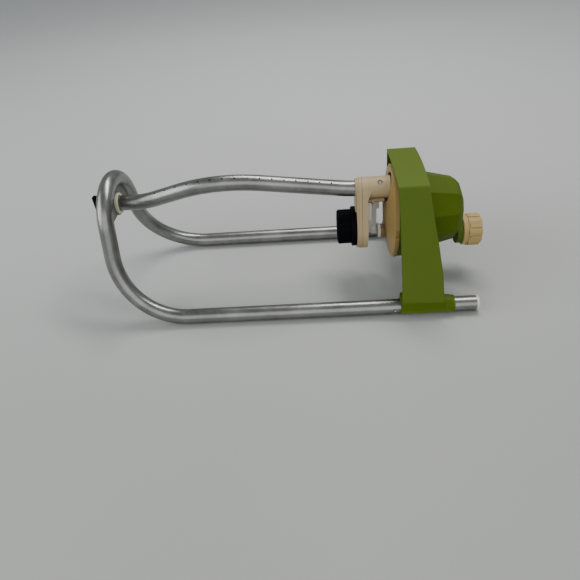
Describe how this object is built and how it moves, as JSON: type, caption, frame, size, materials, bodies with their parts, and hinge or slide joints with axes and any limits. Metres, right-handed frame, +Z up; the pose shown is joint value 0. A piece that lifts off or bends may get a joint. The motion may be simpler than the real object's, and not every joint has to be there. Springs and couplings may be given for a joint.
{
  "type": "oscillating sprinkler",
  "caption": "Lawn sprinkler whose water motor rocks a bowed spray tube from side to side on a bent tube stand, with a dial that shifts the sweep.",
  "frame": {"origin": "centre of the footprint, on the ground", "axes": "+X along the spray tube towards the hose coupling, +Z up; the dial and the near leg's side is -Y"},
  "size_m": [0.403, 0.1646, 0.139],
  "materials": {
    "stand_tube": "drawn, dulled and scuffed",
    "spray_tube": "drawn, oxidised",
    "zinc_plate": "dull grey pressing",
    "steel": "bright turned",
    "green_plastic": "moulded, satin",
    "tan_plastic": "moulded, satin",
    "cream_plastic": "moulded, satin",
    "black_plastic": "moulded, ribbed",
    "white_nylon": "moulded, slightly waxy",
    "grey_plastic": "moulded",
    "black_rubber": "smooth"
  },
  "bodies": {
    "stand": {"base_frame": "stand_tube", "leg_cap_near": "cream_plastic", "leg_cap_far": "cream_plastic", "hoop_bracket": "zinc_plate", "hoop_bushing": "cream_plastic", "tower_housing": "green_plastic", "leg_screws": "steel", "front_cover": "tan_plastic", "cover_seal": "black_rubber", "shaft_seal": "black_rubber", "outlet_spigot": "grey_plastic", "spigot_seal": "black_rubber", "inlet_stem": "tan_plastic", "hose_washer": "black_rubber", "inlet_strainer": "white_nylon", "jet_plate": "white_nylon", "arbor_pin": "steel"},
    "drive_lever": {"drive_lever": "white_nylon", "link_stud": "steel", "stud_clip": "steel"},
    "spray_arm": {"rocker_arm": "tan_plastic", "sleeve_screw": "steel", "spray_tube": "spray_tube"},
    "dial": {"dial_knob": "black_plastic", "dial_cam": "white_nylon"},
    "end_plug": {"end_plug": "black_plastic"},
    "link": {"link": "white_nylon"},
    "crank": {"crank_arm": "white_nylon", "output_shaft": "steel", "output_gear": "white_nylon"},
    "upper_idler": {"upper_idler": "white_nylon"},
    "lower_idler": {"lower_idler": "white_nylon"},
    "turbine": {"turbine": "white_nylon"},
    "coupling_nut": {"coupling_nut": "tan_plastic"}
  },
  "joints": [
    {"name": "sweep", "type": "hinge", "parent": "stand", "child": "drive_lever", "pos_m": [0.083, 0, 0.1065], "axis": [1, 0, 0], "range_deg": [-33, 33]},
    {"name": "arm_offset", "type": "hinge", "parent": "drive_lever", "child": "spray_arm", "pos_m": [0.083, 0, 0.1065], "axis": [1, 0, 0], "range_deg": [-9, 9]},
    {"name": "dial_turn", "type": "hinge", "parent": "spray_arm", "child": "dial", "pos_m": [0.06, 0, 0.062], "axis": [1, 0, 0], "range_deg": [-60, 60]},
    {"name": "end_plug_turn", "type": "hinge", "parent": "spray_arm", "child": "end_plug", "pos_m": [-0.19, 0, 0.1065], "axis": [1, 0, 0], "continuous": true},
    {"name": "link_swing", "type": "hinge", "parent": "drive_lever", "child": "link", "pos_m": [0.089, 0.01819, 0.096], "axis": [1, 0, 0], "range_deg": [-38, 38]},
    {"name": "crank_spin", "type": "hinge", "parent": "stand", "child": "crank", "pos_m": [0.094, 0, 0.0546], "axis": [1, 0, 0], "continuous": true},
    {"name": "upper_idler_spin", "type": "hinge", "parent": "stand", "child": "upper_idler", "pos_m": [0.113, 0, 0.0771], "axis": [1, 0, 0], "continuous": true},
    {"name": "lower_idler_spin", "type": "hinge", "parent": "crank", "child": "lower_idler", "pos_m": [0.118, 0, 0.0546], "axis": [1, 0, 0], "continuous": true},
    {"name": "turbine_spin", "type": "hinge", "parent": "stand", "child": "turbine", "pos_m": [0.128, 0, 0.0771], "axis": [1, 0, 0], "continuous": true},
    {"name": "coupling_nut_spin", "type": "hinge", "parent": "stand", "child": "coupling_nut", "pos_m": [0.193, 0, 0.0495], "axis": [1, 0, 0], "continuous": true}
  ],
  "couplings": [
    {"joint": "link_swing", "follows": "sweep", "ratio": -1.13},
    {"joint": "crank_spin", "follows": "sweep", "ratio": 1.46},
    {"joint": "upper_idler_spin", "follows": "sweep", "ratio": -5.84},
    {"joint": "lower_idler_spin", "follows": "sweep", "ratio": 21.9},
    {"joint": "turbine_spin", "follows": "sweep", "ratio": -93.44},
    {"joint": "arm_offset", "follows": "dial_turn", "ratio": 0.15}
  ]
}
